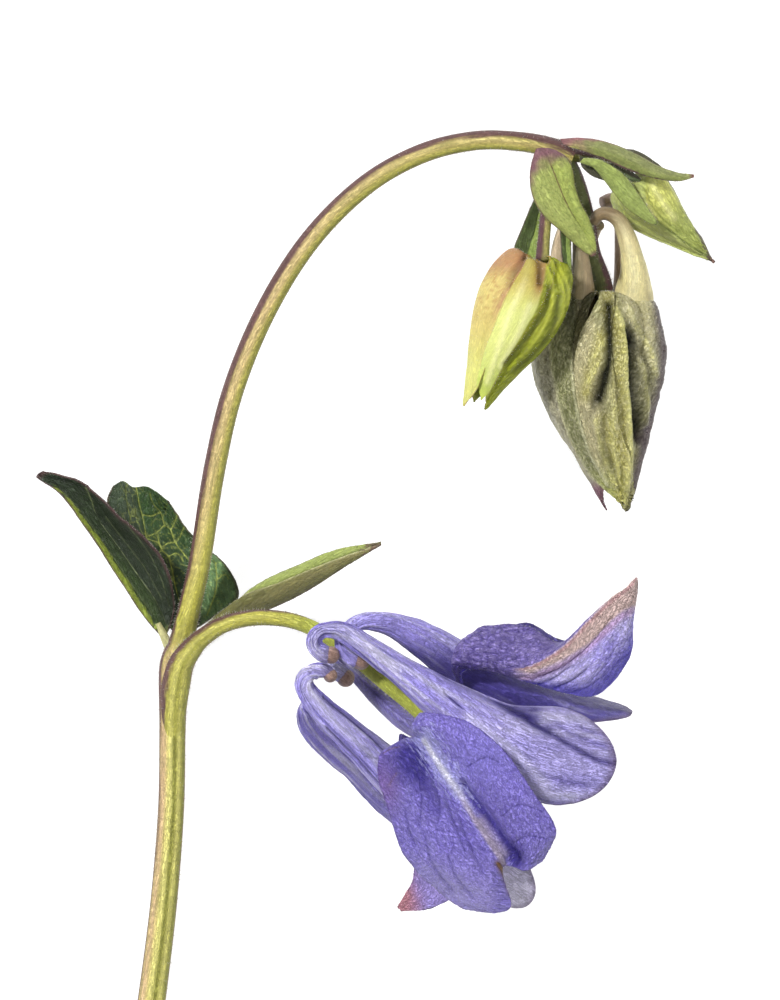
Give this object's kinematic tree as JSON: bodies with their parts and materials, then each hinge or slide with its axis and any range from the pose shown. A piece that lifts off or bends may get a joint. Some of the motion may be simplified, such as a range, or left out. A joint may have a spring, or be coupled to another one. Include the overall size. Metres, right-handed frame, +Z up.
{
  "type": "cut columbine plant stem",
  "caption": "Cut columbine stem lying flat: a nodding spurred violet flower, hanging buds and bracts on an arching stalk, with lobed leaves at the fork.",
  "frame": {"origin": "middle of the footprint, on the surface the stem lies on", "axes": "+Z up off the surface, +Y along the stem from its cut end towards the arch, +X towards the side where the flower and buds hang"},
  "size_m": [0.0682, 0.0934, 0.0267],
  "materials": {
    "stem": "soft satin green with a purple-brown side, lengthwise ridges and fine hairs",
    "leaf": "dark green upper face with pale yellow-green veins, olive underside",
    "bract": "matt mid green with a dark purple midrib and base",
    "bud_left": "lime yellow flushed with orange-brown",
    "bud_large": "grey-green, wrinkled, with yellow-green keels and a purple-grey edge",
    "bud_right": "green with a yellower base and a dark hairy margin",
    "bud_spur": "pale tan, slightly translucent",
    "petal": "blue-violet paling to periwinkle, finely net-wrinkled, amber knob at the spur tip",
    "sepal": "blue-violet, wrinkled, one tip beige-pink and one tip salmon-pink",
    "stamens": "pale yellow",
    "carpels": "pale green"
  },
  "bodies": {
    "root": {"bract_behind": "bract", "bract_front": "bract", "bract_lower": "bract", "bract_narrow": "bract", "bract_upper": "bract", "bud_large": "bud_large", "bud_left": "bud_left", "bud_right": "bud_right", "bud_spur_1": "bud_spur", "bud_spur_2": "bud_spur", "bud_spur_3": "bud_spur", "bud_spur_4": "bud_spur", "bud_spur_5": "bud_spur", "carpels": "carpels", "leaf_back": "leaf", "leaf_left": "leaf", "leaf_right": "leaf", "petal_back": "petal", "petal_front": "petal", "petal_low_back": "petal", "petal_low_front": "petal", "petal_top": "petal", "sepal_behind": "sepal", "sepal_front": "sepal", "sepal_low": "sepal", "sepal_top": "sepal", "sepal_under": "sepal", "stamens": "stamens", "stem": "stem"}
  },
  "joints": []
}
